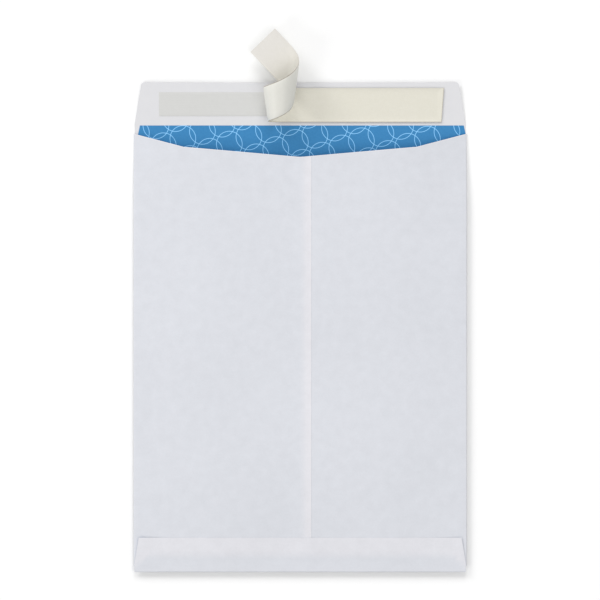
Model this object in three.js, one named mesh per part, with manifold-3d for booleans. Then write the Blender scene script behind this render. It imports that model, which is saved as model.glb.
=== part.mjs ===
// Open-end catalog envelope with a peel-off seal strip, built as its die-cut blank is folded up.
// Millimetres. The envelope lies on its address face, seam side up and seal flap open.
// +X runs right, +Y from the bottom fold to the seal flap, +Z up.
// The origin is the middle of the address face, on the surface that the envelope lies on.
import * as THREE from "three";
import Module from "manifold-3d";

const wasm = await Module();
wasm.setup();

// Pocket
const POCKET_WIDTH = 228.6; // 9 in, side fold to side fold
const POCKET_HEIGHT = 304.8; // 12 in, bottom fold to seal-flap fold
const PAPER = 0.14; // caliper of 28 lb wove paper
const FOLD_RADIUS = 0.38; // inside radius of the side and bottom folds
const POCKET_GAP = 6; // how far the panels spring apart in the middle
const EDGE_LIFT = 2.2; // height of the folds' underside above the surface
const SIDE_REACH = 60; // distance from a side fold over which the panels spring apart
const BOTTOM_REACH = 80; // the same from the bottom fold
const TOP_REACH = 60; // distance below the seal-flap fold over which the side folds come down

// Throat, cut in the side panels: drops are below the seal-flap fold
const SHOULDER_DROP = 4;
const KNEE_DROP = 13;
const THROAT_DROP = 20;
const KNEE_X = 80; // distance of each knee from the centre line
const THROAT_ZONE = 60;

// Centre seam: the left side panel laps over the right one
const LAP_EDGE_X = 7.5; // free edge of the left panel
const LAP_WIDTH = 8;
const GUM = 0.05; // thickness of a gum line
const GUM_INSET = 1.5; // gum stops short of a free edge
const STEP_RUN = 3; // run over which a layer steps up onto another

// Bottom flap, folded up over the side panels and gummed down
const BOTTOM_FLAP_HEIGHT = 23.7;
const BOTTOM_FLAP_TAPER = 3;
const BOTTOM_TAPER_START = 5.5;
const SIDE_PANEL_RISE = 12; // the side panels stop this far above the bottom fold
const SIDE_CORNER_RISE = 4; // but slant down to here at the side folds
const SIDE_CORNER_RUN = 11;
const FREE_END = 28; // length at each end of the flap that the gum doesn't reach
const LEFT_END_LIFT = 1.1; // how far its corners stand off
const RIGHT_END_LIFT = 0.6;

// Seal flap, open
const SEAL_FLAP_HEIGHT = 31.5;
const SEAL_FLAP_TAPER = 4.9;
const SEAL_TAPER_START = 2.5; // above the fold
const SEAL_CORNER_RADIUS = 2;
const SEAL_EDGE_HOLLOW = 0.5; // the free edge is slightly hollow in the middle
const SEAL_FLAP_TILT = THREE.MathUtils.degToRad(3);

// Adhesive strip on the seal flap; rises are above the seal-flap fold
const ADHESIVE_LENGTH = 194;
const ADHESIVE_WIDTH = 16.5;
const ADHESIVE_RISE = 16.5;
const ADHESIVE = 0.1;
const SEAT = 0.05; // clearance between strip and flap, and between liner and strip

// Release liner, peeled from its left end and curled up
const LINER_LENGTH = 203.5;
const LINER_WIDTH = 23.4;
const LINER_RISE = 15.9;
const LINER_END_X = 98;
const LINER_END_SKEW = 1.7; // the right end is cut slightly out of square
const LINER = 0.1;
const LIFT_OFF_X = -14; // where the liner leaves the strip, on the liner's centre line
const CURL_RADIUS = 9.5; // on the centre line, at lift-off
const CURL_HALF_ANGLE = THREE.MathUtils.degToRad(7.7); // the curl widens towards the free edge
const CURL_TURN = THREE.MathUtils.degToRad(262);
const END_HALF_ANGLE = THREE.MathUtils.degToRad(5.15); // the last part of the curl is tighter
const END_TURN = THREE.MathUtils.degToRad(94);
const CURL_LEAN = THREE.MathUtils.degToRad(-0.2); // lift-off line from square, to the right
const CURL_CLEAR = 0.8; // how far the curl stands clear of the flat liner

// Sizes that follow from these
const BEND_MID = FOLD_RADIUS + PAPER / 2;
const BEND_X = POCKET_WIDTH / 2 - FOLD_RADIUS - PAPER;
const TOP_FOLD_Y = POCKET_HEIGHT / 2;
const BOTTOM_FOLD_Y = -POCKET_HEIGHT / 2;
const BEND_Y = BOTTOM_FOLD_Y + FOLD_RADIUS + PAPER;
const NOTCH_Y = BOTTOM_FOLD_Y + SIDE_PANEL_RISE;
const CORNER_Y = BOTTOM_FOLD_Y + SIDE_CORNER_RISE;
const BOTTOM_EDGE_Y = BOTTOM_FOLD_Y + BOTTOM_FLAP_HEIGHT;
const SHOULDER_Y = TOP_FOLD_Y - SHOULDER_DROP;
const THROAT_ZONE_Y = TOP_FOLD_Y - THROAT_ZONE;
const LAP_START_X = LAP_EDGE_X - LAP_WIDTH;
const LAYER = PAPER + GUM;

const UP = new THREE.Vector3(0, 0, 1);
const DOWN = new THREE.Vector3(0, 0, -1);
const { clamp, lerp, smoothstep } = THREE.MathUtils;

// A closed skin round a sheet that is given as a grid of columns and rows.
// skins(column, row) gives the two faces; columns, rows and outer face are right-handed.
function shell(columns, rows, skins, has = () => true) {
  const positions = [];
  const triangles = [];
  const seen = new Map();
  const edges = new Map();

  function corner(c, r) {
    const key = c * rows.length + r;
    if (!seen.has(key)) {
      seen.set(key, positions.length / 3);
      for (const point of skins(columns[c], rows[r])) positions.push(point.x, point.y, point.z);
    }
    return seen.get(key);
  }

  for (let c = 0; c + 1 < columns.length; c++) {
    for (let r = 0; r + 1 < rows.length; r++) {
      if (!has(columns[c], columns[c + 1], rows[r], rows[r + 1])) continue;
      const loop = [corner(c, r), corner(c + 1, r), corner(c + 1, r + 1), corner(c, r + 1)];
      const [a, b, d, e] = loop;
      triangles.push(a, b, d, a, d, e);
      triangles.push(a + 1, d + 1, b + 1, a + 1, e + 1, d + 1);
      loop.forEach((from, k) => edges.set(`${from} ${loop[(k + 1) % 4]}`, [from, loop[(k + 1) % 4]]));
    }
  }

  // the cut edge of the sheet
  for (const [from, to] of edges.values()) {
    if (edges.has(`${to} ${from}`)) continue;
    triangles.push(to, from, from + 1, to, from + 1, to + 1);
  }

  const geometry = new THREE.BufferGeometry();
  geometry.setAttribute("position", new THREE.Float32BufferAttribute(positions, 3));
  geometry.setIndex(triangles);
  return geometry;
}

function join(geometries) {
  const solids = geometries.map((geometry) => {
    const vertProperties = new Float32Array(geometry.attributes.position.array);
    const triVerts = new Uint32Array(geometry.index.array);
    return new wasm.Manifold(new wasm.Mesh({ numProp: 3, vertProperties, triVerts }));
  });
  const mesh = wasm.Manifold.union(solids).getMesh();
  const geometry = new THREE.BufferGeometry();
  geometry.setAttribute("position", new THREE.Float32BufferAttribute(mesh.vertProperties, 3));
  geometry.setIndex(Array.from(mesh.triVerts));
  return geometry;
}

// Marked stations, and regular ones that aren't next to a mark
function stations(marks, regular) {
  const free = regular.filter((value) => marks.every((mark) => Math.abs(mark - value) > 1.5));
  return [...marks, ...free].sort((a, b) => a - b);
}

const steps = (from, to, count) => Array.from({ length: count + 1 }, (_, k) => lerp(from, to, k / count));

// Heights of the middle of the paper

const curlUp = (distance, reach) => clamp(1 - distance / reach, 0, 1) ** 2;
const springOpen = (distance, reach) => Math.sin((Math.PI / 2) * clamp(distance / reach, 0, 1));

function addressLevel(x, y) {
  const side = curlUp(BEND_X - Math.abs(x), SIDE_REACH) * smoothstep(TOP_FOLD_Y - y, 0, TOP_REACH);
  const bottom = curlUp(y - BEND_Y, BOTTOM_REACH);
  return PAPER / 2 + EDGE_LIFT * (1 - (1 - side) * (1 - bottom));
}

function sideLevel(x, y) {
  const open = springOpen(BEND_X - Math.abs(x), SIDE_REACH) * springOpen(y - BEND_Y, BOTTOM_REACH);
  const apart = lerp(2 * FOLD_RADIUS, POCKET_GAP, open);
  return addressLevel(x, y) + PAPER + apart;
}

// 0 to 1 where the left panel, or the flap over it, steps up onto the right panel
const lapStep = (x) => clamp((x - LAP_START_X + STEP_RUN) / STEP_RUN, 0, 1);
const lapCover = (x) => Math.min(lapStep(x), clamp(1 - (x - LAP_EDGE_X) / STEP_RUN, 0, 1));

// the bottom flap steps up onto the side panels, at its ends lower than their slanted edge
function bottomFlapLevel(x, y) {
  const inward = BEND_X - Math.abs(x);
  const stepY = lerp(CORNER_Y, NOTCH_Y, clamp(inward / SIDE_CORNER_RUN - 1, 0, 1));
  const step = clamp((y - stepY + STEP_RUN) / STEP_RUN, 0, 1);
  const lift = x < 0 ? LEFT_END_LIFT : RIGHT_END_LIFT;
  const end = clamp(1 - inward / FREE_END, 0, 1) ** 2;
  const stand = lift * end * clamp((y - BEND_Y) / (BOTTOM_EDGE_Y - BEND_Y), 0, 1);
  return sideLevel(x, y) + LAYER * step * (1 + lapCover(x)) + stand;
}

// Outlines of the blank

function throatY(x) {
  const away = Math.abs(x);
  if (away > KNEE_X) {
    return TOP_FOLD_Y - lerp(KNEE_DROP, SHOULDER_DROP, (away - KNEE_X) / (BEND_X - KNEE_X));
  }
  return TOP_FOLD_Y - lerp(THROAT_DROP, KNEE_DROP, away / KNEE_X);
}

// A side panel's lower edge slants near its fold
function notchY(x) {
  return lerp(CORNER_Y, NOTCH_Y, clamp((BEND_X - Math.abs(x)) / SIDE_CORNER_RUN, 0, 1));
}

function sidePanelY(x, y) {
  if (y < BOTTOM_EDGE_Y) {
    return lerp(notchY(x), BOTTOM_EDGE_Y, (y - CORNER_Y) / (BOTTOM_EDGE_Y - CORNER_Y));
  }
  if (y <= THROAT_ZONE_Y) return y;
  return lerp(THROAT_ZONE_Y, throatY(x), (y - THROAT_ZONE_Y) / (SHOULDER_Y - THROAT_ZONE_Y));
}

function bottomFlapHalf(y) {
  const along = (y - BOTTOM_FOLD_Y - BOTTOM_TAPER_START) / (BOTTOM_FLAP_HEIGHT - BOTTOM_TAPER_START);
  return BEND_X - BOTTOM_FLAP_TAPER * clamp(along, 0, 1);
}

function sealFlapHalf(rise) {
  const past = Math.max(0, rise - SEAL_FLAP_HEIGHT + SEAL_CORNER_RADIUS);
  const rounding = SEAL_CORNER_RADIUS - Math.sqrt(Math.max(0, SEAL_CORNER_RADIUS ** 2 - past ** 2));
  const along = (rise - SEAL_TAPER_START) / (SEAL_FLAP_HEIGHT - SEAL_TAPER_START);
  return BEND_X - SEAL_FLAP_TAPER * Math.max(0, along) - rounding;
}

// Seal flap: across, up from its fold, and off its middle on the inside
const FLAP_RISE = new THREE.Vector3(0, Math.cos(SEAL_FLAP_TILT), Math.sin(SEAL_FLAP_TILT));
const FLAP_OFF = new THREE.Vector3(0, -Math.sin(SEAL_FLAP_TILT), Math.cos(SEAL_FLAP_TILT));

function onFlap(x, rise, off) {
  const point = new THREE.Vector3(x, TOP_FOLD_Y, PAPER / 2);
  return point.addScaledVector(FLAP_RISE, rise).addScaledVector(FLAP_OFF, off);
}

// The folded sheet

function addressPoint(x, row) {
  if (row.part === "seal flap") {
    const half = sealFlapHalf(row.rise);
    const hollow = (SEAL_EDGE_HOLLOW * row.rise * (1 - (x / BEND_X) ** 2)) / SEAL_FLAP_HEIGHT;
    return [onFlap((x * half) / BEND_X, row.rise - hollow, 0), FLAP_OFF.clone().negate()];
  }
  if (row.part === "bottom fold") {
    const out = new THREE.Vector3(0, -Math.cos(row.turn), Math.sin(row.turn));
    const centre = new THREE.Vector3(x, BEND_Y, addressLevel(x, BEND_Y) + BEND_MID);
    return [centre.addScaledVector(out, BEND_MID), out];
  }
  if (row.part === "bottom flap") {
    const edge = clamp(x, -bottomFlapHalf(row.y), bottomFlapHalf(row.y));
    return [new THREE.Vector3(edge, row.y, bottomFlapLevel(edge, row.y)), UP];
  }
  return [new THREE.Vector3(x, row.y, addressLevel(x, row.y)), DOWN];
}

function sidePoint(column, row) {
  const y = sidePanelY(column.x, row.y);
  if (column.panel === "side fold") {
    const out = new THREE.Vector3(column.hand * Math.cos(column.turn), 0, Math.sin(column.turn));
    const centre = new THREE.Vector3(column.x, y, addressLevel(column.x, y) + BEND_MID);
    return [centre.addScaledVector(out, BEND_MID), out];
  }
  const lap = column.hand < 0 ? LAYER * lapStep(column.x) : 0;
  return [new THREE.Vector3(column.x, y, sideLevel(column.x, y) + lap), UP];
}

function sheetSkins(column, row) {
  const [point, out] = column.panel === "address" ? addressPoint(column.x, row) : sidePoint(column, row);
  return [point.clone().addScaledVector(out, PAPER / 2), point.clone().addScaledVector(out, -PAPER / 2)];
}

const across = stations(
  [
    ...[BEND_X, BEND_X - SIDE_CORNER_RUN, BEND_X - 2 * SIDE_CORNER_RUN, KNEE_X].flatMap((x) => [-x, x]),
    ...[LAP_START_X - STEP_RUN, LAP_START_X, LAP_EDGE_X, LAP_EDGE_X + STEP_RUN],
  ],
  [
    ...steps(-BEND_X, SIDE_REACH - BEND_X, 6),
    ...steps(BEND_X - SIDE_REACH, BEND_X, 6),
    ...steps(SIDE_REACH - BEND_X, BEND_X - SIDE_REACH, 4),
  ],
);
const upPocket = stations(
  [
    BEND_Y,
    CORNER_Y - STEP_RUN,
    CORNER_Y,
    BOTTOM_FOLD_Y + BOTTOM_TAPER_START,
    NOTCH_Y - STEP_RUN,
    NOTCH_Y,
    BOTTOM_EDGE_Y,
    THROAT_ZONE_Y,
    SHOULDER_Y,
    TOP_FOLD_Y,
  ],
  [
    ...steps(BEND_Y, BEND_Y + BOTTOM_REACH, 6),
    ...steps(BEND_Y + BOTTOM_REACH, THROAT_ZONE_Y, 4),
    ...steps(THROAT_ZONE_Y, TOP_FOLD_Y, 4),
  ],
);
const upSealFlap = [
  ...steps(SEAL_TAPER_START, SEAL_FLAP_HEIGHT - SEAL_CORNER_RADIUS, 4),
  ...steps(0, Math.PI / 2, 4).slice(1).map((turn) => SEAL_FLAP_HEIGHT - SEAL_CORNER_RADIUS * (1 - Math.sin(turn))),
];
const overFold = steps(Math.PI / 2, -Math.PI / 2, 6).slice(1, -1);

const blankColumns = [
  ...across.filter((x) => x >= LAP_START_X).map((x) => ({ panel: "side", hand: 1, x })),
  ...overFold.map((turn) => ({ panel: "side fold", hand: 1, x: BEND_X, turn })),
  ...across.map((x) => ({ panel: "address", x })).reverse(),
  ...overFold.map((turn) => ({ panel: "side fold", hand: -1, x: -BEND_X, turn: -turn })),
  ...across.filter((x) => x <= LAP_EDGE_X).map((x) => ({ panel: "side", hand: -1, x })),
];
const blankRows = [
  ...upPocket.filter((y) => y <= BOTTOM_EDGE_Y).map((y) => ({ part: "bottom flap", y })).reverse(),
  ...overFold.map((turn) => ({ part: "bottom fold", turn })),
  ...upPocket.map((y) => ({ part: "pocket", y })),
  ...upSealFlap.map((rise) => ({ part: "seal flap", rise })),
];

// the side panels reach from their lower edge to the shoulder only
function inBlank(column, nextColumn, row, nextRow) {
  if (column.panel === "address" && nextColumn.panel === "address") return true;
  if (row.part !== "pocket" || nextRow.part !== "pocket") return false;
  return row.y >= CORNER_Y && nextRow.y <= SHOULDER_Y;
}

// Gum lines, from the middle of one layer to the middle of the layer over it

const gumSkins = (lower, upper) => (x, y) => [
  new THREE.Vector3(x, y, upper(x, y)),
  new THREE.Vector3(x, y, lower(x, y)),
];

const seamLower = (x, y) => sideLevel(x, y);
const seamUpper = (x, y) => sideLevel(x, y) + LAYER;
const seamTop = TOP_FOLD_Y - THROAT_DROP - GUM_INSET;
const seamGum = shell(
  [LAP_START_X + GUM_INSET, LAP_EDGE_X - GUM_INSET],
  stations([NOTCH_Y + GUM_INSET, seamTop], upPocket.filter((y) => y > NOTCH_Y && y < seamTop)),
  gumSkins(seamLower, seamUpper),
);

const flapLower = (x, y) => sideLevel(x, y) + LAYER * lapCover(x);
const bottomGums = [
  [FREE_END - BEND_X, LAP_START_X - STEP_RUN - GUM_INSET],
  [LAP_START_X + GUM_INSET, LAP_EDGE_X - GUM_INSET],
  [LAP_EDGE_X + STEP_RUN + GUM_INSET, BEND_X - FREE_END],
].map(([left, right]) =>
  shell(
    stations([left, right], across.filter((x) => x > left && x < right)),
    stations(
      [NOTCH_Y + GUM_INSET, BOTTOM_EDGE_Y - GUM_INSET],
      upPocket.filter((y) => y > NOTCH_Y + GUM_INSET && y < BOTTOM_EDGE_Y - GUM_INSET),
    ),
    gumSkins(flapLower, bottomFlapLevel),
  ),
);

const sheet = join([shell(blankColumns, blankRows, sheetSkins, inBlank), seamGum, ...bottomGums]);

// Adhesive strip

const ADHESIVE_OFF = PAPER / 2 + SEAT;
const adhesive = shell(
  steps(-ADHESIVE_LENGTH / 2, ADHESIVE_LENGTH / 2, 1),
  steps(ADHESIVE_RISE - ADHESIVE_WIDTH / 2, ADHESIVE_RISE + ADHESIVE_WIDTH / 2, 1),
  (x, rise) => [onFlap(x, rise, ADHESIVE_OFF + ADHESIVE), onFlap(x, rise, ADHESIVE_OFF)],
);

// Release liner: flat on the strip up to the lift-off line, round a cone, then round a slimmer one

const LINER_OFF = ADHESIVE_OFF + ADHESIVE + SEAT + LINER / 2;
const APEX_AWAY = CURL_RADIUS / Math.sin(CURL_HALF_ANGLE);
const APEX_X = LIFT_OFF_X - APEX_AWAY * Math.sin(CURL_LEAN);
const APEX_RISE = LINER_RISE - APEX_AWAY * Math.cos(CURL_LEAN);

// the cones' axes, from their common apex
const curlAxis = new THREE.Vector3(0, Math.cos(CURL_HALF_ANGLE), Math.sin(CURL_HALF_ANGLE));
const endAxis = new THREE.Vector3(0, Math.cos(END_HALF_ANGLE), Math.sin(END_HALF_ANGLE));

// Where a point of the flat liner comes to lie, in flap directions; off is towards its top face
function peeled(x, rise, off) {
  const away = Math.hypot(APEX_X - x, rise - APEX_RISE);
  const round = Math.atan2(APEX_X - x, rise - APEX_RISE) + CURL_LEAN;
  const turn = clamp(round / curlAxis.z, 0, CURL_TURN);
  const past = round - turn * curlAxis.z;
  const endTurn = clamp(past / endAxis.z, 0, END_TURN);
  const straight = past - endTurn * endAxis.z;
  const clear = CURL_CLEAR * smoothstep(turn, 0, Math.PI / 2);
  return new THREE.Vector3(-away * Math.sin(straight), away * Math.cos(straight), off)
    .applyAxisAngle(endAxis, endTurn)
    .applyAxisAngle(curlAxis, turn)
    .applyAxisAngle(UP, -CURL_LEAN)
    .add(new THREE.Vector3(APEX_X, APEX_RISE, LINER_OFF + clear));
}

function linerSkins(x, rise) {
  const skew = x === LINER_END_X ? (LINER_END_SKEW * (rise - LINER_RISE)) / LINER_WIDTH : 0;
  return [-LINER / 2, LINER / 2].map((off) => {
    const face = peeled(x + skew, rise, off);
    return onFlap(face.x, face.y, face.z);
  });
}

const CURL_START_X = LIFT_OFF_X + (LINER_WIDTH / 2) * Math.abs(Math.tan(CURL_LEAN));
const liner = shell(
  [
    ...steps(LINER_END_X, CURL_START_X, 6),
    ...steps(CURL_START_X, LINER_END_X - LINER_LENGTH, 60).slice(1),
  ],
  steps(LINER_RISE - LINER_WIDTH / 2, LINER_RISE + LINER_WIDTH / 2, 6),
  linerSkins,
);

// Finished pieces

function piece(name, geometry, colour, roughness) {
  const solid = geometry.toNonIndexed();
  solid.computeVertexNormals();
  const material = new THREE.MeshStandardMaterial({ color: colour, roughness, metalness: 0 });
  const mesh = new THREE.Mesh(solid, material);
  mesh.name = name;
  return mesh;
}

const group = new THREE.Group();
group.name = "catalog_envelope";
group.add(piece("envelope_sheet", sheet, 0xe6e7ec, 0.85));
group.add(piece("seal_adhesive", adhesive, 0xd8d6d0, 0.45));
group.add(piece("release_liner", liner, 0xe6e2d2, 0.55));

export default group;
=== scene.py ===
import math

import bpy
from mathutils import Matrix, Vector, noise


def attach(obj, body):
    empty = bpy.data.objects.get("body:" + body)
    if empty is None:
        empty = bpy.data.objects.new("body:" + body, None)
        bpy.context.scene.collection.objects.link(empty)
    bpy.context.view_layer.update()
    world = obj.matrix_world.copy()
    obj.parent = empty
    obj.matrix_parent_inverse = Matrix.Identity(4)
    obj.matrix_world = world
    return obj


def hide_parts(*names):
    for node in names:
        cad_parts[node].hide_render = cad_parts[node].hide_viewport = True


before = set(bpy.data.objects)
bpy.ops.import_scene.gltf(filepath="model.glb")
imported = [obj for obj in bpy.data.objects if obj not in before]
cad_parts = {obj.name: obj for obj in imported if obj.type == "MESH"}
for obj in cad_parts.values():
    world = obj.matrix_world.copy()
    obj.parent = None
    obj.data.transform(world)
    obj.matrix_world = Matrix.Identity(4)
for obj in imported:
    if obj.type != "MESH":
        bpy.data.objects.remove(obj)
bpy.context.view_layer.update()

# Sizes of the envelope in millimetres, as in the part's source
POCKET_WIDTH, POCKET_HEIGHT = 228.6, 304.8
PAPER, FOLD_RADIUS = 0.14, 0.38
POCKET_GAP, EDGE_LIFT = 6.0, 2.2
SIDE_REACH, BOTTOM_REACH, TOP_REACH = 60.0, 80.0, 60.0
SHOULDER_DROP, KNEE_DROP, THROAT_DROP = 4.0, 13.0, 20.0
KNEE_X, THROAT_ZONE = 80.0, 60.0
LAP_EDGE_X, LAP_WIDTH, GUM, STEP_RUN = 7.5, 8.0, 0.05, 3.0
BOTTOM_FLAP_HEIGHT, BOTTOM_FLAP_TAPER, BOTTOM_TAPER_START = 23.7, 3.0, 5.5
SIDE_PANEL_RISE, SIDE_CORNER_RISE, SIDE_CORNER_RUN = 12.0, 4.0, 11.0
FREE_END, LEFT_END_LIFT, RIGHT_END_LIFT = 28.0, 1.1, 0.6
SEAL_FLAP_HEIGHT, SEAL_FLAP_TAPER, SEAL_TAPER_START = 31.5, 4.9, 2.5
SEAL_CORNER_RADIUS, SEAL_EDGE_HOLLOW = 2.0, 0.5
SEAL_FLAP_TILT = math.radians(3)
ADHESIVE_LENGTH, ADHESIVE_WIDTH, ADHESIVE_RISE, ADHESIVE, SEAT = 194.0, 16.5, 16.5, 0.1, 0.05
LINER_LENGTH, LINER_WIDTH, LINER_RISE, LINER = 203.5, 23.4, 15.9, 0.1
LINER_END_X, LINER_END_SKEW, LIFT_OFF_X = 98.0, 1.7, -14.0
CURL_RADIUS, CURL_LEAN, CURL_CLEAR = 9.5, math.radians(-0.2), 0.8
CURL_HALF_ANGLE, CURL_TURN = math.radians(7.7), math.radians(262)
END_HALF_ANGLE, END_TURN = math.radians(5.15), math.radians(94)

BEND_MID = FOLD_RADIUS + PAPER / 2
BEND_X = POCKET_WIDTH / 2 - FOLD_RADIUS - PAPER
TOP_FOLD_Y, BOTTOM_FOLD_Y = POCKET_HEIGHT / 2, -POCKET_HEIGHT / 2
BEND_Y = BOTTOM_FOLD_Y + FOLD_RADIUS + PAPER
NOTCH_Y, CORNER_Y = BOTTOM_FOLD_Y + SIDE_PANEL_RISE, BOTTOM_FOLD_Y + SIDE_CORNER_RISE
BOTTOM_EDGE_Y = BOTTOM_FOLD_Y + BOTTOM_FLAP_HEIGHT
SHOULDER_Y, THROAT_ZONE_Y = TOP_FOLD_Y - SHOULDER_DROP, TOP_FOLD_Y - THROAT_ZONE
LAP_START_X, LAYER = LAP_EDGE_X - LAP_WIDTH, PAPER + GUM

# Unevenness of the paper: size across, size up, layer of the noise, height
COCKLES = ((85.0, 120.0, 3.7, 0.22), (33.0, 52.0, 9.1, 0.06))
COCKLE_SIDE, COCKLE_BOTTOM = 35.0, 40.0  # run from the folds to its full height
LAP_PRESS, LAP_PRESS_RUN = 0.04, 2.0  # the lap's edge is pressed down

# How much paler the sheet is: steps from bare paper to a second layer behind it, then painted highlight
SEAM_PALE, SEAM_FADE = 1.3, 6.0
# painted highlight: pale lines along the lap's edge and the throat's cut edge
CUT_EDGE, LAP_EDGE_HIGHLIGHT, THROAT_EDGE_HIGHLIGHT = 0.8, 1.0, 3.0  # line along the side panels' cut edges
NOTCH_FADE = (-1.2, 0.8)  # where the side panels begin to back the bottom flap

UP, DOWN = Vector((0, 0, 1)), Vector((0, 0, -1))
MM, PER_MM = 0.001, 1000.0
GRID, FOLD_STEPS, CORNER_STEPS = 2.6, 10, 8
SHARP_ANGLE = math.radians(48)


def clamp(value, low=0.0, high=1.0):
    return max(low, min(high, value))


def lerp(a, b, t):
    return a + (b - a) * t


def ease(value, low, high):
    t = clamp((value - low) / (high - low))
    return t * t * (3 - 2 * t)


def stations(marks, spacing):
    """Marked places in order, with even ones between them at about the given spacing."""
    marks = sorted(marks)
    places = []
    for a, b in zip(marks, marks[1:]):
        count = max(1, round((b - a) / spacing))
        places += [lerp(a, b, k / count) for k in range(count)]
    return places + marks[-1:]


# The folded sheet: heights of the middle of the paper

def curl_up(distance, reach):
    return clamp(1 - distance / reach) ** 2


def spring_open(distance, reach):
    return math.sin(math.pi / 2 * clamp(distance / reach))


def address_level(x, y):
    side = curl_up(BEND_X - abs(x), SIDE_REACH) * ease(TOP_FOLD_Y - y, 0, TOP_REACH)
    bottom = curl_up(y - BEND_Y, BOTTOM_REACH)
    return PAPER / 2 + EDGE_LIFT * (1 - (1 - side) * (1 - bottom))


def cockle(x, y):
    """Slight unevenness of paper that has taken up moisture, dying out at the folds."""
    held = spring_open(BEND_X - abs(x), COCKLE_SIDE) * spring_open(y - BEND_Y, COCKLE_BOTTOM)
    return held * sum(h * noise.noise(Vector((x / wide, y / tall, z))) for wide, tall, z, h in COCKLES)


def side_level(x, y):
    opened = spring_open(BEND_X - abs(x), SIDE_REACH) * spring_open(y - BEND_Y, BOTTOM_REACH)
    return address_level(x, y) + PAPER + lerp(2 * FOLD_RADIUS, POCKET_GAP, opened) + cockle(x, y)


def lap_step(x):
    return clamp((x - LAP_START_X + STEP_RUN) / STEP_RUN)


def lap_cover(x):
    return min(lap_step(x), clamp(1 - (x - LAP_EDGE_X) / STEP_RUN))


def bottom_flap_level(x, y):
    inward = BEND_X - abs(x)
    step_y = lerp(CORNER_Y, NOTCH_Y, clamp(inward / SIDE_CORNER_RUN - 1))
    step = clamp((y - step_y + STEP_RUN) / STEP_RUN)
    lift = LEFT_END_LIFT if x < 0 else RIGHT_END_LIFT
    stand = lift * clamp(1 - inward / FREE_END) ** 2 * clamp((y - BEND_Y) / (BOTTOM_EDGE_Y - BEND_Y))
    return side_level(x, y) + LAYER * step * (1 + lap_cover(x)) + stand


# The folded sheet: outlines of the die-cut blank

def throat_y(x):
    away = abs(x)
    if away > KNEE_X:
        return TOP_FOLD_Y - lerp(KNEE_DROP, SHOULDER_DROP, (away - KNEE_X) / (BEND_X - KNEE_X))
    return TOP_FOLD_Y - lerp(THROAT_DROP, KNEE_DROP, away / KNEE_X)


def notch_y(x):
    return lerp(CORNER_Y, NOTCH_Y, clamp((BEND_X - abs(x)) / SIDE_CORNER_RUN))


def side_panel_y(x, y):
    if y < BOTTOM_EDGE_Y:
        return lerp(notch_y(x), BOTTOM_EDGE_Y, (y - CORNER_Y) / (BOTTOM_EDGE_Y - CORNER_Y))
    if y <= THROAT_ZONE_Y:
        return y
    return lerp(THROAT_ZONE_Y, throat_y(x), (y - THROAT_ZONE_Y) / (SHOULDER_Y - THROAT_ZONE_Y))


def bottom_flap_half(y):
    along = (y - BOTTOM_FOLD_Y - BOTTOM_TAPER_START) / (BOTTOM_FLAP_HEIGHT - BOTTOM_TAPER_START)
    return BEND_X - BOTTOM_FLAP_TAPER * clamp(along)


def seal_flap_half(rise):
    past = max(0.0, rise - SEAL_FLAP_HEIGHT + SEAL_CORNER_RADIUS)
    rounding = SEAL_CORNER_RADIUS - math.sqrt(max(0.0, SEAL_CORNER_RADIUS ** 2 - past ** 2))
    along = (rise - SEAL_TAPER_START) / (SEAL_FLAP_HEIGHT - SEAL_TAPER_START)
    return BEND_X - SEAL_FLAP_TAPER * max(0.0, along) - rounding


FLAP_RISE = Vector((0, math.cos(SEAL_FLAP_TILT), math.sin(SEAL_FLAP_TILT)))
FLAP_OFF = Vector((0, -math.sin(SEAL_FLAP_TILT), math.cos(SEAL_FLAP_TILT)))


def on_flap(x, rise, off):
    return Vector((x, TOP_FOLD_Y, PAPER / 2)) + rise * FLAP_RISE + off * FLAP_OFF


def address_point(x, part, place):
    """Middle of the paper, outward direction, place on the flat blank, and what backs the paper."""
    if part == "seal flap":
        half = seal_flap_half(place)
        hollow = SEAL_EDGE_HOLLOW * place * (1 - (x / BEND_X) ** 2) / SEAL_FLAP_HEIGHT
        across = x * half / BEND_X
        return on_flap(across, place - hollow, 0), -FLAP_OFF, (across, TOP_FOLD_Y + place - hollow), 1.0
    if part == "bottom fold":
        out = Vector((0, -math.cos(place), math.sin(place)))
        centre = Vector((x, BEND_Y, address_level(x, BEND_Y) + BEND_MID))
        return centre + BEND_MID * out, out, (x, BEND_Y - BEND_MID * (place + math.pi / 2)), 0.0
    if part == "bottom flap":
        edge = clamp(x, -bottom_flap_half(place), bottom_flap_half(place))
        backing_and_highlight = ease(place - notch_y(edge), *NOTCH_FADE)
        flat = (edge, 2 * BEND_Y - math.pi * BEND_MID - place)
        return Vector((edge, place, bottom_flap_level(edge, place))), UP, flat, backing_and_highlight
    return Vector((x, place, address_level(x, place))), DOWN, (x, place), 0.0


def side_point(panel, hand, x, turn, place):
    y = side_panel_y(x, place)
    if panel == "side fold":
        out = Vector((hand * math.cos(turn), 0, math.sin(turn)))
        centre = Vector((x, y, address_level(x, y) + BEND_MID))
        return centre + BEND_MID * out, out, (x + hand * BEND_MID * (turn + math.pi / 2), y), 0.0
    flat = (hand * (2 * BEND_X + math.pi * BEND_MID) - x, y)
    lap, backing_and_highlight = 0.0, 0.0
    if hand < 0:
        lap = LAYER * lap_step(x) - LAP_PRESS * ease(x, LAP_EDGE_X - LAP_PRESS_RUN, LAP_EDGE_X)
        backing_and_highlight = SEAM_PALE * ease(x, LAP_START_X, LAP_START_X + SEAM_FADE)
        # painted highlight: the lap's edge and the throat's cut edge are made paler than a second layer makes
        # them
        backing_and_highlight += LAP_EDGE_HIGHLIGHT * clamp((x - LAP_EDGE_X) / CUT_EDGE + 1)
    backing_and_highlight = max(backing_and_highlight, THROAT_EDGE_HIGHLIGHT * clamp((place - SHOULDER_Y) / CUT_EDGE + 1))
    return Vector((x, y, side_level(x, y) + lap)), UP, flat, backing_and_highlight


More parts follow.
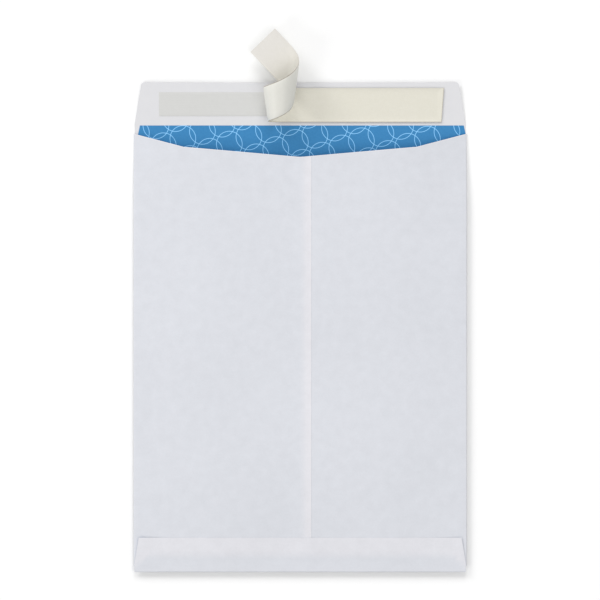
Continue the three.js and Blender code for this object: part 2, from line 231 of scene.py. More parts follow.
def fold_blank():
    """The blank on a grid of columns and rows, folded into one closed skin of paper thickness."""
    away = [BEND_X, BEND_X - SIDE_CORNER_RUN, BEND_X - 2 * SIDE_CORNER_RUN, KNEE_X]
    lap = [LAP_START_X - STEP_RUN, LAP_START_X, LAP_EDGE_X - CUT_EDGE, LAP_EDGE_X, LAP_EDGE_X + STEP_RUN]
    across = stations([-x for x in away] + lap + away, GRID)
    low = [BEND_Y, CORNER_Y - STEP_RUN, CORNER_Y, BOTTOM_FOLD_Y + BOTTOM_TAPER_START, NOTCH_Y - STEP_RUN]
    high = [NOTCH_Y, BOTTOM_EDGE_Y, THROAT_ZONE_Y, SHOULDER_Y - CUT_EDGE, SHOULDER_Y, TOP_FOLD_Y]
    up = stations(low + high, GRID)
    corner_start = SEAL_FLAP_HEIGHT - SEAL_CORNER_RADIUS
    up_seal = stations([0, SEAL_TAPER_START, corner_start], GRID)[1:]
    turns = [math.pi / 2 * k / CORNER_STEPS for k in range(1, CORNER_STEPS + 1)]
    up_seal += [corner_start + SEAL_CORNER_RADIUS * math.sin(turn) for turn in turns]
    over = [math.pi / 2 - math.pi * k / FOLD_STEPS for k in range(1, FOLD_STEPS)]

    columns = [("side", 1, x, 0) for x in across if x >= LAP_START_X]
    columns += [("side fold", 1, BEND_X, turn) for turn in over]
    columns += [("address", 0, x, 0) for x in reversed(across)]
    columns += [("side fold", -1, -BEND_X, -turn) for turn in over]
    columns += [("side", -1, x, 0) for x in across if x <= LAP_EDGE_X]
    rows = [("bottom flap", y) for y in reversed(up) if y <= BOTTOM_EDGE_Y]
    rows += [("bottom fold", turn) for turn in over]
    rows += [("pocket", y) for y in up]
    rows += [("seal flap", rise) for rise in up_seal]

    points, flats, backings_and_highlights, faces, inside = [], [], [], [], []
    made, edges = {}, {}

    def corner(c, r):
        if (c, r) not in made:
            made[c, r] = len(points)
            panel, hand, x, turn = columns[c]
            part, place = rows[r]
            if panel == "address":
                point, out, flat, backing_and_highlight = address_point(x, part, place)
            else:
                point, out, flat, backing_and_highlight = side_point(panel, hand, x, turn, place)
            points.extend([(point + out * PAPER / 2) * MM, (point - out * PAPER / 2) * MM])
            flats.extend([(flat[0] * MM, flat[1] * MM)] * 2)
            backings_and_highlights.extend([backing_and_highlight] * 2)
        return made[c, r]

    for c in range(len(columns) - 1):
        in_address = columns[c][0] == columns[c + 1][0] == "address"
        for r in range(len(rows) - 1):
            in_pocket = rows[r][0] == rows[r + 1][0] == "pocket"
            if not in_address and not (in_pocket and rows[r][1] >= CORNER_Y and rows[r + 1][1] <= SHOULDER_Y):
                continue
            a, b, d, e = corner(c, r), corner(c + 1, r), corner(c + 1, r + 1), corner(c, r + 1)
            faces.extend([(a, b, d, e), (a + 1, e + 1, d + 1, b + 1)])
            inside.extend([0, 1])
            for edge in ((a, b), (b, d), (d, e), (e, a)):
                edges[edge] = True
    for start, end in edges:
        if (end, start) not in edges:
            faces.append((end, start, start + 1, end + 1))
            inside.append(0)
    return points, flats, backings_and_highlights, faces, inside


def mesh_object(name, points, faces, materials, face_materials=None):
    mesh = bpy.data.meshes.new(name)
    mesh.from_pydata(points, [], faces)
    for material in materials:
        mesh.materials.append(material)
    if face_materials:
        mesh.polygons.foreach_set("material_index", face_materials)
    mesh.shade_smooth()
    mesh.set_sharp_from_angle(angle=SHARP_ANGLE)
    made = bpy.data.objects.new(name, mesh)
    bpy.context.scene.collection.objects.link(made)
    return made


def node(tree, kind, links=None, **settings):
    """Adds a node; links sets its inputs, each to a value or to another node's output."""
    made = tree.nodes.new(kind)
    for name, value in settings.items():
        setattr(made, name, value)
    for key, value in (links or {}).items():
        if isinstance(value, bpy.types.Node):
            value = value.outputs[0]
        if isinstance(value, bpy.types.NodeSocket):
            tree.links.new(value, made.inputs[key])
        else:
            made.inputs[key].default_value = value
    return made


def linear(hex_colour):
    """An sRGB hex colour as linear RGBA."""
    channels = [int(hex_colour[k : k + 2], 16) / 255 for k in (1, 3, 5)]
    return [c / 12.92 if c <= 0.04045 else ((c + 0.055) / 1.055) ** 2.4 for c in channels] + [1.0]


def new_material(name):
    material = bpy.data.materials.new(name)
    material.use_nodes = True
    material.node_tree.nodes.clear()
    return material, material.node_tree


# Materials. Sizes across of the patterns in millimetres

CLOUD, FLOCK, DRIFT, TOOTH = 7.0, 1.2, 90.0, 0.9  # in the paper
MOTTLE = 1.5  # of the ink
STREAK, GRAIN = (25.0, 0.6, 0.6), 2.5  # of the adhesive, streaks along the stripe
PRESSED_FLOCK, FIBRE = 3.0, 0.8  # in the glassine


def wove_paper():
    """White wove paper, uncoated, 105 g/m2. Pulp formed on a woven wire: matt, cloudy in the look-through,
    with a soft fibre tooth. The tint printed on its back shows through as a cool cast, except where a
    second layer backs it. A painted highlight makes it paler still along the lap's edge and the
    throat's cut edge."""
    material, tree = new_material("wove_paper_uncoated")
    place = node(tree, "ShaderNodeTexCoord").outputs["Object"]
    backed_and_highlit = node(tree, "ShaderNodeAttribute", attribute_name="backing_and_highlight").outputs["Fac"]
    # formation clouds, fibre flocks and a broad drift of tone
    clouds = node(
        tree,
        "ShaderNodeTexNoise",
        {"Vector": place, "Scale": PER_MM / CLOUD, "Detail": 3.0, "Roughness": 0.6},
    )
    flocks = node(
        tree,
        "ShaderNodeTexNoise",
        {"Vector": place, "Scale": PER_MM / FLOCK, "Detail": 2.0, "Roughness": 0.5},
    )
    drift = node(
        tree,
        "ShaderNodeTexNoise",
        {"Vector": place, "Scale": PER_MM / DRIFT, "Detail": 1.0, "Roughness": 0.4},
    )
    # past the second layer's tone, unclamped, for the painted highlight along cut edges
    cast = node(
        tree,
        "ShaderNodeMix",
        {0: backed_and_highlit, 6: linear("#D0D2D8"), 7: linear("#D7D7DC")},
        data_type="RGBA",
        clamp_factor=False,
    )
    cloudy = node(tree, "ShaderNodeMath", {0: clouds, 1: 2.0, 2: flocks}, operation="MULTIPLY_ADD")
    cloudy = node(tree, "ShaderNodeMath", {0: cloudy, 1: drift}, operation="ADD")
    tone = node(
        tree,
        "ShaderNodeMapRange",
        {"Value": cloudy, "From Min": 1.4, "From Max": 2.6, "To Min": 0.965, "To Max": 1.035},
    )
    colour = node(tree, "ShaderNodeVectorMath", {0: cast.outputs[2], "Scale": tone}, operation="SCALE")
    rough = node(
        tree,
        "ShaderNodeMapRange",
        {"Value": flocks, "From Min": 0.3, "From Max": 0.7, "To Min": 0.8, "To Max": 0.92},
    )
    tooth = node(
        tree,
        "ShaderNodeTexNoise",
        {"Vector": place, "Scale": PER_MM / TOOTH, "Detail": 4.0, "Roughness": 0.65},
    )
    bump = node(tree, "ShaderNodeBump", {"Height": tooth, "Strength": 0.25, "Distance": 0.00008})
    shader = node(
        tree,
        "ShaderNodeBsdfPrincipled",
        {"Base Color": colour, "Roughness": rough, "Normal": bump, "IOR": 1.5, "Specular IOR Level": 0.25},
    )
    node(tree, "ShaderNodeOutputMaterial", {"Surface": shader})
    return material


# The tint: a lattice of overlapping rings, the size of the printed field, and its soft edge
TINT_PITCH, TINT_TURN = (14.33, 14.6), math.radians(20.2)
TINT_RING, TINT_LINE = 8.85, 0.36
TINT_GAP = (19.4, TOP_FOLD_Y - 9.2)  # a small gap between four rings, beside the throat
TINT_HALF, TINT_SHIFT, TINT_LEAN = 111.32, 1.2, 0.22
TINT_RISE, TINT_SOFT = 1.9, 0.2


def tinted_inside():
    """The inside of the sheet: bare paper on the seal flap, and below its fold a flexographic security tint.
    Thin water-based blue ink sinks into the fibres, so it is matt and slightly mottled, with overlapping
    rings left open in it as pale lines."""
    material, tree = new_material("wove_paper_flexo_tint")
    flat = node(tree, "ShaderNodeUVMap", uv_map="flat_blank").outputs[0]
    place = node(tree, "ShaderNodeTexCoord").outputs["Object"]
    on_sheet = node(tree, "ShaderNodeVectorMath", {0: flat, "Scale": PER_MM}, operation="SCALE")

    # ring lattice: cells one pitch wide, with a ring round the middle of each
    shifted = node(tree, "ShaderNodeVectorMath", {0: on_sheet, 1: (*TINT_GAP, 0)}, operation="SUBTRACT")
    turned = node(
        tree,
        "ShaderNodeVectorRotate",
        {"Vector": shifted, "Angle": -TINT_TURN},
        rotation_type="Z_AXIS",
    )
    cells = node(tree, "ShaderNodeVectorMath", {0: turned, 1: (*TINT_PITCH, 1)}, operation="DIVIDE")
    cells = node(tree, "ShaderNodeVectorMath", {0: cells}, operation="FRACTION")
    cells = node(tree, "ShaderNodeVectorMath", {0: cells, 1: (0.5, 0.5, 0)}, operation="SUBTRACT")
    cells = node(tree, "ShaderNodeVectorMath", {0: cells}, operation="ABSOLUTE")
    in_cell = node(tree, "ShaderNodeVectorMath", {0: cells, 1: (*TINT_PITCH, 0)}, operation="MULTIPLY")
    ring_distances = []
    for centre in ((0, 0, 0), (TINT_PITCH[0], 0, 0), (0, TINT_PITCH[1], 0)):
        away = node(tree, "ShaderNodeVectorMath", {0: in_cell, 1: centre}, operation="DISTANCE")
        away = node(tree, "ShaderNodeMath", {0: away.outputs["Value"], 1: TINT_RING}, operation="SUBTRACT")
        ring_distances.append(node(tree, "ShaderNodeMath", {0: away}, operation="ABSOLUTE"))
    first, second, third = ring_distances
    nearest = node(tree, "ShaderNodeMath", {0: first, 1: second}, operation="MINIMUM")
    nearest = node(tree, "ShaderNodeMath", {0: nearest, 1: third}, operation="MINIMUM")
    fade = {"From Min": 0.25 * TINT_LINE, "From Max": 0.75 * TINT_LINE, "To Min": 1.0, "To Max": 0.0}
    line = node(tree, "ShaderNodeMapRange", {"Value": nearest, **fade}, interpolation_type="SMOOTHSTEP")

    # the tint stops just above the fold, and short of the side edges
    parts = node(tree, "ShaderNodeSeparateXYZ", {0: on_sheet})
    top = TOP_FOLD_Y + TINT_RISE
    fade = {"From Min": top - TINT_SOFT, "From Max": top + TINT_SOFT, "To Min": 1.0, "To Max": 0.0}
    over_top = node(tree, "ShaderNodeMapRange", {"Value": parts.outputs[1], **fade})
    wide = node(tree, "ShaderNodeMath", {0: parts.outputs[0], 1: TINT_SHIFT}, operation="SUBTRACT")
    wide = node(tree, "ShaderNodeMath", {0: wide}, operation="ABSOLUTE")
    lean = node(
        tree,
        "ShaderNodeMath",
        {0: parts.outputs[1], 1: TINT_LEAN, 2: wide},
        operation="MULTIPLY_ADD",
    )
    margin = TINT_HALF + TINT_LEAN * top
    fade = {"From Min": margin - TINT_SOFT, "From Max": margin + TINT_SOFT, "To Min": 1.0, "To Max": 0.0}
    over_side = node(tree, "ShaderNodeMapRange", {"Value": lean, **fade})
    inked = node(tree, "ShaderNodeMath", {0: over_top, 1: over_side}, operation="MULTIPLY")

    # the ink is laid down unevenly
    mottle = node(
        tree,
        "ShaderNodeTexNoise",
        {"Vector": place, "Scale": PER_MM / MOTTLE, "Detail": 3.0, "Roughness": 0.6},
    )
    clouds = node(
        tree,
        "ShaderNodeTexNoise",
        {"Vector": place, "Scale": PER_MM / CLOUD, "Detail": 3.0, "Roughness": 0.6},
    )
    blue = node(
        tree,
        "ShaderNodeMix",
        {0: mottle, 6: linear("#3178AE"), 7: linear("#4389BC")},
        data_type="RGBA",
    )
    print_colour = node(
        tree,
        "ShaderNodeMix",
        {0: line, 6: blue.outputs[2], 7: linear("#94D2FF")},
        data_type="RGBA",
    )
    bare = node(
        tree,
        "ShaderNodeMix",
        {0: clouds, 6: linear("#D3D3D6"), 7: linear("#D8D8DA")},
        data_type="RGBA",
    )
    colour = node(
        tree,
        "ShaderNodeMix",
        {0: inked, 6: bare.outputs[2], 7: print_colour.outputs[2]},
        data_type="RGBA",
    )
    rough = node(
        tree,
        "ShaderNodeMapRange",
        {"Value": mottle, "From Min": 0.3, "From Max": 0.7, "To Min": 0.78, "To Max": 0.9},
    )
    tooth = node(
        tree,
        "ShaderNodeTexNoise",
        {"Vector": place, "Scale": PER_MM / TOOTH, "Detail": 4.0, "Roughness": 0.65},
    )
    bump = node(tree, "ShaderNodeBump", {"Height": tooth, "Strength": 0.25, "Distance": 0.00008})
    shader = node(
        tree,
        "ShaderNodeBsdfPrincipled",
        {
            "Base Color": colour.outputs[2],
            "Roughness": rough,
            "Normal": bump,
            "IOR": 1.5,
            "Specular IOR Level": 0.25,
        },
    )
    node(tree, "ShaderNodeOutputMaterial", {"Surface": shader})
    return material


def seal_film():
    """Hot-melt pressure-sensitive adhesive, slot coated in one stripe: a thin, faintly grey film that
    dulls the paper, with long coating streaks and a soft gloss."""
    material, tree = new_material("hot_melt_adhesive_coated")
    place = node(tree, "ShaderNodeTexCoord").outputs["Object"]
    along = node(tree, "ShaderNodeMapping", {"Vector": place, "Scale": [PER_MM / size for size in STREAK]})
    streak = node(
        tree,
        "ShaderNodeTexNoise",
        {"Vector": along, "Scale": 1.0, "Detail": 2.0, "Roughness": 0.5},
    )
    grain = node(
        tree,
        "ShaderNodeTexNoise",
        {"Vector": place, "Scale": PER_MM / GRAIN, "Detail": 3.0, "Roughness": 0.6},
    )
    mixed = node(tree, "ShaderNodeMath", {0: streak, 1: grain}, operation="ADD")
    amount = node(tree, "ShaderNodeMapRange", {"Value": mixed, "From Min": 0.7, "From Max": 1.3})
    colour = node(
        tree,
        "ShaderNodeMix",
        {0: amount, 6: linear("#CACAC8"), 7: linear("#CDCDCB")},
        data_type="RGBA",
    )
    rough = node(
        tree,
        "ShaderNodeMapRange",
        {"Value": grain, "From Min": 0.3, "From Max": 0.7, "To Min": 0.38, "To Max": 0.55},
    )
    bump = node(tree, "ShaderNodeBump", {"Height": mixed, "Strength": 0.2, "Distance": 0.00006})
    shader = node(
        tree,
        "ShaderNodeBsdfPrincipled",
        {
            "Base Color": colour.outputs[2],
            "Roughness": rough,
            "Normal": bump,
            "IOR": 1.48,
            "Specular IOR Level": 0.35,
        },
    )
    node(tree, "ShaderNodeOutputMaterial", {"Surface": shader})
    return material


# painted shade: over this run the back of the tail lightens from the warmer colour to the loose one
LOOSE_FROM, LOOSE_TO = 30.0, 85.0  # run past the lift-off line over which the glassine looks loose
# painted shadow: a dark line along the strip's edges, where its lifted edges and the curl cast shade
EDGE_SHADOW_LINE = (0.55, 0.2)  # distances from the edge where the darker line begins and is full
EDGE_SHADOW_ON_BACK = 0.6


def release_paper():
    """Cream kraft glassine, supercalendered, with a silicone coat on the adhesive side. The pressed fibres
    leave a close cloudy look and a satin sheen, smoother on the coated face. The sheet is translucent, so
    it is warmer over the adhesive than where it hangs free; the warmer, slightly darker colour runs on up
    the tail as painted shade next to the curl. A fine dark line along the edges is painted shadow."""
    material, tree = new_material("glassine_supercalendered_siliconed")
    place = node(tree, "ShaderNodeTexCoord").outputs["Object"]
    on_strip = node(tree, "ShaderNodeAttribute", attribute_name="strip_place").outputs["Vector"]
    parts = node(tree, "ShaderNodeSeparateXYZ", {0: on_strip})
    coated = node(tree, "ShaderNodeMath", {0: parts.outputs[2], 1: 0.0}, operation="LESS_THAN")
    lift_off = LIFT_OFF_X - LINER_END_X + LINER_LENGTH / 2
    fade = {
        "From Min": (lift_off - LOOSE_TO) * MM,
        "From Max": (lift_off - LOOSE_FROM) * MM,
        "To Min": 1.0,
        "To Max": 0.0,
    }
    free = node(tree, "ShaderNodeMapRange", {"Value": parts.outputs[0], **fade})
    flocks = node(
        tree,
        "ShaderNodeTexNoise",
        {"Vector": place, "Scale": PER_MM / PRESSED_FLOCK, "Detail": 4.0, "Roughness": 0.6},
    )
    fibres = node(
        tree,
        "ShaderNodeTexNoise",
        {"Vector": place, "Scale": PER_MM / FIBRE, "Detail": 2.0, "Roughness": 0.5},
    )
    cloudy = node(tree, "ShaderNodeMath", {0: flocks, 1: fibres}, operation="ADD")
    amount = node(tree, "ShaderNodeMapRange", {"Value": cloudy, "From Min": 0.7, "From Max": 1.3})
    # warmer and a little darker where held by the adhesive, and as painted shade on the tail near the curl
    stuck_and_shaded = node(
        tree,
        "ShaderNodeMix",
        {0: amount, 6: linear("#D6D3C6"), 7: linear("#DAD7CB")},
        data_type="RGBA",
    )
    loose = node(
        tree,
        "ShaderNodeMix",
        {0: amount, 6: linear("#D8D5CF"), 7: linear("#DCD9D4")},
        data_type="RGBA",
    )
    back = node(tree, "ShaderNodeMix", {0: free, 6: stuck_and_shaded.outputs[2], 7: loose.outputs[2]}, data_type="RGBA")
    face = node(
        tree,
        "ShaderNodeMix",
        {0: amount, 6: linear("#DCDBD3"), 7: linear("#DFDED7")},
        data_type="RGBA",
    )
    paper = node(tree, "ShaderNodeMix", {0: coated, 6: back.outputs[2], 7: face.outputs[2]}, data_type="RGBA")
    # painted shadow: a fine dark line along both edges of the coated face, and at the back
    # along the lower edge and the end, fading out along the tail
    wide = node(tree, "ShaderNodeMath", {0: parts.outputs[1]}, operation="ABSOLUTE")
    low = node(tree, "ShaderNodeMath", {0: parts.outputs[1], 1: -1.0}, operation="MULTIPLY")
    begin, full = EDGE_SHADOW_LINE
    shadow_band = {"From Min": (LINER_WIDTH / 2 - begin) * MM, "From Max": (LINER_WIDTH / 2 - full) * MM}
    both = node(tree, "ShaderNodeMapRange", {"Value": wide, **shadow_band})
    lower = node(tree, "ShaderNodeMapRange", {"Value": low, **shadow_band})
    cut = {"From Min": (LINER_LENGTH / 2 - begin) * MM, "From Max": (LINER_LENGTH / 2 - full) * MM}
    end = node(tree, "ShaderNodeMapRange", {"Value": parts.outputs[0], **cut})
    lower = node(tree, "ShaderNodeMath", {0: lower, 1: end}, operation="MAXIMUM")
    held = node(tree, "ShaderNodeMapRange", {"Value": free, "To Min": EDGE_SHADOW_ON_BACK, "To Max": 0.0})
    lower = node(tree, "ShaderNodeMath", {0: lower, 1: held}, operation="MULTIPLY")
    edge = node(tree, "ShaderNodeMix", {0: coated, 2: lower, 3: both}, data_type="FLOAT")
    # painted shadow colour along the edges
    colour = node(
        tree,
        "ShaderNodeMix",
        {0: edge, 6: paper.outputs[2], 7: linear("#9C9384")},
        data_type="RGBA",
    )
    rough = node(tree, "ShaderNodeMapRange", {"Value": coated, "To Min": 0.55, "To Max": 0.4})
    bump = node(tree, "ShaderNodeBump", {"Height": cloudy, "Strength": 0.15, "Distance": 0.00005})
    shader = node(
        tree,
        "ShaderNodeBsdfPrincipled",
        {
            "Base Color": colour.outputs[2],
            "Roughness": rough,
            "Normal": bump,
            "IOR": 1.5,
            "Specular IOR Level": 0.4,
        },
    )
    node(tree, "ShaderNodeOutputMaterial", {"Surface": shader})
    return material


# Pieces

def make_sheet():
    points, flats, backings_and_highlights, faces, inside = fold_blank()
    sheet = mesh_object("folded_sheet", points, faces, [wove_paper(), tinted_inside()], inside)
    mesh = sheet.data
    flat_blank = mesh.uv_layers.new(name="flat_blank")
    for loop in mesh.loops:
        flat_blank.data[loop.index].uv = flats[loop.vertex_index]
    backing_and_highlight = mesh.attributes.new("backing_and_highlight", "FLOAT", "POINT")
    backing_and_highlight.data.foreach_set("value", backings_and_highlights)
    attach(sheet, "root")
    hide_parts("envelope_sheet")


# The stripe's thin borders, in parts of its length and width, its edge thickness, and its waver
STRIPE_END, STRIPE_SIDE, STRIPE_EDGE = 0.006, 0.04, 0.25
COLUMN_STEP, ROW_STEP = 0.004, 0.06
SIDE_WAVER, SIDE_WAVE, END_WAVER, END_WAVE = 0.12, 6.0, 0.25, 3.0


def make_adhesive():
    """The coated stripe: full in the middle, thinning out to soft, slightly uneven edges."""
    low = PAPER / 2 + SEAT
    columns = stations([-0.5, STRIPE_END - 0.5, 0.5 - STRIPE_END, 0.5], COLUMN_STEP)
    rows = stations([-0.5, STRIPE_SIDE - 0.5, 0.5 - STRIPE_SIDE, 0.5], ROW_STEP)
    points, faces = [], []

    def place(c, r, top):
        u, v = columns[c], rows[r]
        x = u * ADHESIVE_LENGTH
        waver = SIDE_WAVER * noise.noise(Vector((x / SIDE_WAVE, 4 * v, 1.3)))
        rise = ADHESIVE_RISE + v * (ADHESIVE_WIDTH - 2 * abs(waver))
        if abs(u) > 0.5 - STRIPE_END / 2:
            x += END_WAVER * noise.noise(Vector((rise / END_WAVE, 8 * u, 5.2)))
        full = min(1.0, (0.5 - abs(u)) / STRIPE_END, (0.5 - abs(v)) / STRIPE_SIDE)
        thick = ADHESIVE * lerp(STRIPE_EDGE, 1, math.sin(math.pi / 2 * full))
        return on_flap(x, rise, low + (thick if top else 0)) * MM

    across, up = len(columns), len(rows)
    for top in (True, False):
        points += [place(c, r, top) for c in range(across) for r in range(up)]
    under = across * up
    edges = {}
    for c in range(across - 1):
        for r in range(up - 1):
            loop = (c * up + r, (c + 1) * up + r, (c + 1) * up + r + 1, c * up + r + 1)
            faces.append(loop)
            faces.append(tuple(under + k for k in reversed(loop)))
            for k in range(4):
                edges[loop[k], loop[(k + 1) % 4]] = True
    for start, end in edges:
        if (end, start) not in edges:
            faces.append((end, start, under + start, under + end))
    film = mesh_object("adhesive_stripe", points, faces, [seal_film()])
    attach(film, "root")
    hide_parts("seal_adhesive")


LINER_COLUMNS, LINER_ROWS = 360, 30
LINER_EDGE_LIFT, LINER_EDGE_POWER, LINER_END_RUN = 0.4, 8.0, 4.0
LINER_CORNER = 0.9  # radians between faces that meet at the strip's edges


def liner_tree(material):
    """The liner as a flat strip, wrapped past its lift-off line round a cone, then round a slimmer one."""
    tree = bpy.data.node_groups.new("peeled_liner", "GeometryNodeTree")
    for name in (
        "Length", "Width", "Thickness", "End", "End Skew", "Rise", "Off", "Lift Off", "Curl Radius",
        "Half Angle", "Turn", "End Half Angle", "End Turn", "Lean", "Clear", "Edge Lift", "Flap Tilt",
        "Fold Height", "Fold Place",
    ):
        tree.interface.new_socket(name, in_out="INPUT", socket_type="NodeSocketFloat")
    tree.interface.new_socket("Geometry", in_out="OUTPUT", socket_type="NodeSocketGeometry")
    sizes = node(tree, "NodeGroupInput").outputs

    box = node(tree, "ShaderNodeCombineXYZ", {0: sizes["Length"], 1: sizes["Width"], 2: sizes["Thickness"]})
    strip = node(
        tree,
        "GeometryNodeMeshCube",
        {"Size": box, "Vertices X": LINER_COLUMNS, "Vertices Y": LINER_ROWS, "Vertices Z": 2},
    )
    here = node(tree, "GeometryNodeInputPosition")
    parts = node(tree, "ShaderNodeSeparateXYZ", {0: here})
    strip = node(
        tree,
        "GeometryNodeStoreNamedAttribute",
        {"Geometry": strip, "Name": "strip_place", "Value": here},
        data_type="FLOAT_VECTOR",
        domain="POINT",
    )

    # place on the flat strip, its right end cut a little out of square
    half_length = node(tree, "ShaderNodeMath", {0: sizes["Length"], 1: 0.5}, operation="MULTIPLY")
    near_end = node(tree, "ShaderNodeMath", {0: half_length, 1: LINER_END_RUN * MM}, operation="SUBTRACT")
    at_end = node(
        tree,
        "ShaderNodeMapRange",
        {"Value": parts.outputs[0], "From Min": near_end, "From Max": half_length},
    )
    across = node(tree, "ShaderNodeMath", {0: parts.outputs[1], 1: sizes["Width"]}, operation="DIVIDE")
    skew = node(tree, "ShaderNodeMath", {0: across, 1: sizes["End Skew"]}, operation="MULTIPLY")
    skew = node(tree, "ShaderNodeMath", {0: skew, 1: at_end}, operation="MULTIPLY")
    start = node(tree, "ShaderNodeMath", {0: sizes["End"], 1: half_length}, operation="SUBTRACT")
    along = node(tree, "ShaderNodeMath", {0: parts.outputs[0], 1: start}, operation="ADD")
    along = node(tree, "ShaderNodeMath", {0: along, 1: skew}, operation="ADD")

    # both cones' apex lies below the flap on the lift-off line
    sine = node(tree, "ShaderNodeMath", {0: sizes["Half Angle"]}, operation="SINE")
    away = node(tree, "ShaderNodeMath", {0: sizes["Curl Radius"], 1: sine}, operation="DIVIDE")
    lean_sine = node(tree, "ShaderNodeMath", {0: sizes["Lean"]}, operation="SINE")
    lean_cosine = node(tree, "ShaderNodeMath", {0: sizes["Lean"]}, operation="COSINE")
    apex_side = node(tree, "ShaderNodeMath", {0: away, 1: lean_sine}, operation="MULTIPLY")
    apex_side = node(tree, "ShaderNodeMath", {0: sizes["Lift Off"], 1: apex_side}, operation="SUBTRACT")
    apex_down = node(tree, "ShaderNodeMath", {0: away, 1: lean_cosine}, operation="MULTIPLY")
    left = node(tree, "ShaderNodeMath", {0: apex_side, 1: along}, operation="SUBTRACT")
    above = node(tree, "ShaderNodeMath", {0: parts.outputs[1], 1: apex_down}, operation="ADD")
    round_apex = node(tree, "ShaderNodeMath", {0: left, 1: above}, operation="ARCTAN2")
    round_apex = node(tree, "ShaderNodeMath", {0: round_apex, 1: sizes["Lean"]}, operation="ADD")
    reach = node(tree, "ShaderNodeCombineXYZ", {0: left, 1: above})
    reach = node(tree, "ShaderNodeVectorMath", {0: reach}, operation="LENGTH").outputs["Value"]

    # flat before the lift-off line, round the curl's cone, round the end's cone, straight after it
    past, wraps = round_apex, []
    for half_angle, limit in (("Half Angle", "Turn"), ("End Half Angle", "End Turn")):
        sine = node(tree, "ShaderNodeMath", {0: sizes[half_angle]}, operation="SINE")
        cosine = node(tree, "ShaderNodeMath", {0: sizes[half_angle]}, operation="COSINE")
        turn = node(tree, "ShaderNodeMath", {0: past, 1: sine}, operation="DIVIDE")
        turn = node(tree, "ShaderNodeClamp", {"Value": turn, "Min": 0.0, "Max": sizes[limit]})
        used = node(tree, "ShaderNodeMath", {0: turn, 1: sine}, operation="MULTIPLY")
        past = node(tree, "ShaderNodeMath", {0: past, 1: used}, operation="SUBTRACT")
        wraps.append((node(tree, "ShaderNodeCombineXYZ", {1: cosine, 2: sine}), turn))
    past_sine = node(tree, "ShaderNodeMath", {0: past}, operation="SINE")
    past_cosine = node(tree, "ShaderNodeMath", {0: past}, operation="COSINE")
    side = node(tree, "ShaderNodeMath", {0: reach, 1: past_sine}, operation="MULTIPLY")
    side = node(tree, "ShaderNodeMath", {0: side, 1: -1.0}, operation="MULTIPLY")
    ahead = node(tree, "ShaderNodeMath", {0: reach, 1: past_cosine}, operation="MULTIPLY")

    # the margins outside the adhesive stand up a little
    margin = node(tree, "ShaderNodeMath", {0: across, 1: 2.0}, operation="MULTIPLY")
    margin = node(tree, "ShaderNodeMath", {0: margin, 1: LINER_EDGE_POWER}, operation="POWER")
    margin = node(tree, "ShaderNodeMath", {0: margin, 1: at_end}, operation="MAXIMUM")
    margin = node(tree, "ShaderNodeMath", {0: margin, 1: sizes["Edge Lift"]}, operation="MULTIPLY")
    height = node(tree, "ShaderNodeMath", {0: parts.outputs[2], 1: margin}, operation="ADD")
    spot = node(tree, "ShaderNodeCombineXYZ", {0: side, 1: ahead, 2: height})
    for axis, turn in reversed(wraps):
        spot = node(
            tree,
            "ShaderNodeVectorRotate",
            {"Vector": spot, "Axis": axis, "Angle": turn},
            rotation_type="AXIS_ANGLE",
        )
    lean_back = node(tree, "ShaderNodeMath", {0: sizes["Lean"], 1: -1.0}, operation="MULTIPLY")
    spot = node(tree, "ShaderNodeVectorRotate", {"Vector": spot, "Angle": lean_back}, rotation_type="Z_AXIS")
    clear = node(
        tree,
        "ShaderNodeMapRange",
        {"Value": turn, "From Max": math.pi / 2, "To Max": sizes["Clear"]},
        interpolation_type="SMOOTHSTEP",
    )
    clear = node(tree, "ShaderNodeMath", {0: clear, 1: sizes["Off"]}, operation="ADD")
    apex_rise = node(tree, "ShaderNodeMath", {0: sizes["Rise"], 1: apex_down}, operation="SUBTRACT")
    apex = node(tree, "ShaderNodeCombineXYZ", {0: apex_side, 1: apex_rise, 2: clear})
    spot = node(tree, "ShaderNodeVectorMath", {0: spot, 1: apex}, operation="ADD")
    strip = node(tree, "GeometryNodeSetPosition", {"Geometry": strip, "Position": spot})

    # onto the tilted seal flap
    fold = node(tree, "ShaderNodeCombineXYZ", {1: sizes["Fold Place"], 2: sizes["Fold Height"]})
    tilt = node(tree, "ShaderNodeCombineXYZ", {0: sizes["Flap Tilt"]})
    strip = node(tree, "GeometryNodeTransform", {"Geometry": strip, "Translation": fold, "Rotation": tilt})
    strip = node(tree, "GeometryNodeSetShadeSmooth", {"Geometry": strip, "Shade Smooth": True}, domain="FACE")
    corner = node(tree, "GeometryNodeInputMeshEdgeAngle").outputs[0]
    corner = node(tree, "FunctionNodeCompare", {0: corner, 1: LINER_CORNER}, operation="GREATER_THAN")
    strip = node(
        tree,
        "GeometryNodeSetShadeSmooth",
        {"Geometry": strip, "Selection": corner, "Shade Smooth": False},
        domain="EDGE",
    )
    strip = node(tree, "GeometryNodeRealizeInstances", {"Geometry": strip})
    strip = node(tree, "GeometryNodeSetMaterial", {"Geometry": strip, "Material": material})
    node(tree, "NodeGroupOutput", {"Geometry": strip})
    return tree


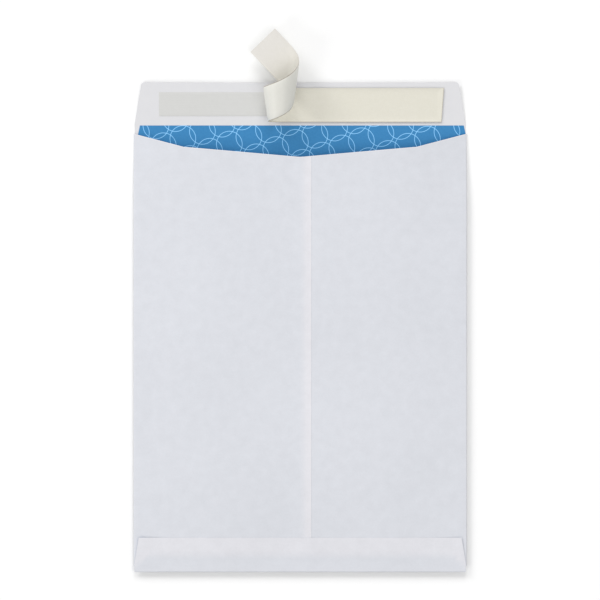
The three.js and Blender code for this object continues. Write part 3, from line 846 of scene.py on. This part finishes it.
def make_liner():
    material = release_paper()
    carrier = bpy.data.objects.new("liner_carrier", bpy.data.meshes.new("liner_carrier"))
    bpy.context.scene.collection.objects.link(carrier)
    peel = carrier.modifiers.new("peel", "NODES")
    peel.node_group = liner_tree(material)
    sizes = {
        "Length": LINER_LENGTH * MM,
        "Width": LINER_WIDTH * MM,
        "Thickness": LINER * MM,
        "End": LINER_END_X * MM,
        "End Skew": LINER_END_SKEW * MM,
        "Rise": LINER_RISE * MM,
        "Off": (PAPER / 2 + 2 * SEAT + ADHESIVE + LINER / 2) * MM,
        "Lift Off": LIFT_OFF_X * MM,
        "Curl Radius": CURL_RADIUS * MM,
        "Half Angle": CURL_HALF_ANGLE,
        "Turn": CURL_TURN,
        "End Half Angle": END_HALF_ANGLE,
        "End Turn": END_TURN,
        "Lean": CURL_LEAN,
        "Clear": CURL_CLEAR * MM,
        "Edge Lift": LINER_EDGE_LIFT * MM,
        "Flap Tilt": SEAL_FLAP_TILT,
        "Fold Height": PAPER / 2 * MM,
        "Fold Place": TOP_FOLD_Y * MM,
    }
    for socket in peel.node_group.interface.items_tree:
        if socket.item_type == "SOCKET" and socket.name in sizes:
            peel[socket.identifier] = sizes[socket.name]
    depsgraph = bpy.context.evaluated_depsgraph_get()
    mesh = bpy.data.meshes.new_from_object(carrier.evaluated_get(depsgraph), depsgraph=depsgraph)
    bpy.data.objects.remove(carrier)
    liner = bpy.data.objects.new("curled_liner", mesh)
    bpy.context.scene.collection.objects.link(liner)
    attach(liner, "root")
    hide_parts("release_liner")


# Stage, in metres

TABLE_HALF, TABLE_LEVEL = 4.0, -0.00005
DOME, BOX_DISTANCE = 0.54, 7.0
FRAME_WIDTH, FRAME_MIDDLE, FRAME_LEVEL = 0.4119, (-0.0001, 0.03432), 0.003
LENS, SENSOR = 200, 36  # millimetres


def make_stage():
    """A matt white table under an even sky. The soft boxes stand low behind and on the left for the shadow
    along the right and bottom edges, and high in front on the right to fill it."""
    material, tree = new_material("white_table")
    shader = node(tree, "ShaderNodeBsdfDiffuse", {"Color": (0.9, 0.9, 0.9, 1)})
    node(tree, "ShaderNodeOutputMaterial", {"Surface": shader})
    ways = ((-1, -1), (1, -1), (1, 1), (-1, 1))
    corners = [(x * TABLE_HALF, y * TABLE_HALF, TABLE_LEVEL) for x, y in ways]
    table = mesh_object("table", corners, [(0, 1, 2, 3)], [material])

    scene = bpy.context.scene
    scene.view_settings.view_transform = "Standard"
    world = bpy.data.worlds.new("studio")
    world.use_nodes = True
    world.node_tree.nodes["Background"].inputs["Color"].default_value = (1, 1, 1, 1)
    world.node_tree.nodes["Background"].inputs["Strength"].default_value = DOME
    scene.world = world

    for name, way, size, power in (
        ("back", (0, 1, 0.6), 3.5, 195.0),
        ("back_left", (-0.7, 0.75, 0.49), 3.0, 175.0),
        ("front_left", (-0.7, -0.7, 0.49), 3.0, 95.0),
        ("front_right", (0.7, -0.7, 1.9), 5.0, 105.0),
    ):
        lamp = bpy.data.lights.new(name, "AREA")
        lamp.shape, lamp.size, lamp.energy = "DISK", size, power
        soft_box = bpy.data.objects.new(name, lamp)
        soft_box.location = Vector(way).normalized() * BOX_DISTANCE
        soft_box.rotation_euler = (-soft_box.location).to_track_quat("-Z", "Y").to_euler()
        scene.collection.objects.link(soft_box)


def make_camera():
    """Straight above, through a long lens, with the frame as wide as the photo's at the envelope's height."""
    camera = bpy.data.cameras.new("camera")
    camera.lens, camera.sensor_width = LENS, SENSOR
    camera.clip_end = 100
    eye = bpy.data.objects.new("camera", camera)
    eye.location = (*FRAME_MIDDLE, FRAME_WIDTH * LENS / SENSOR + FRAME_LEVEL)
    bpy.context.scene.collection.objects.link(eye)
    bpy.context.scene.camera = eye


make_camera()
make_stage()
make_sheet()
make_adhesive()
make_liner()
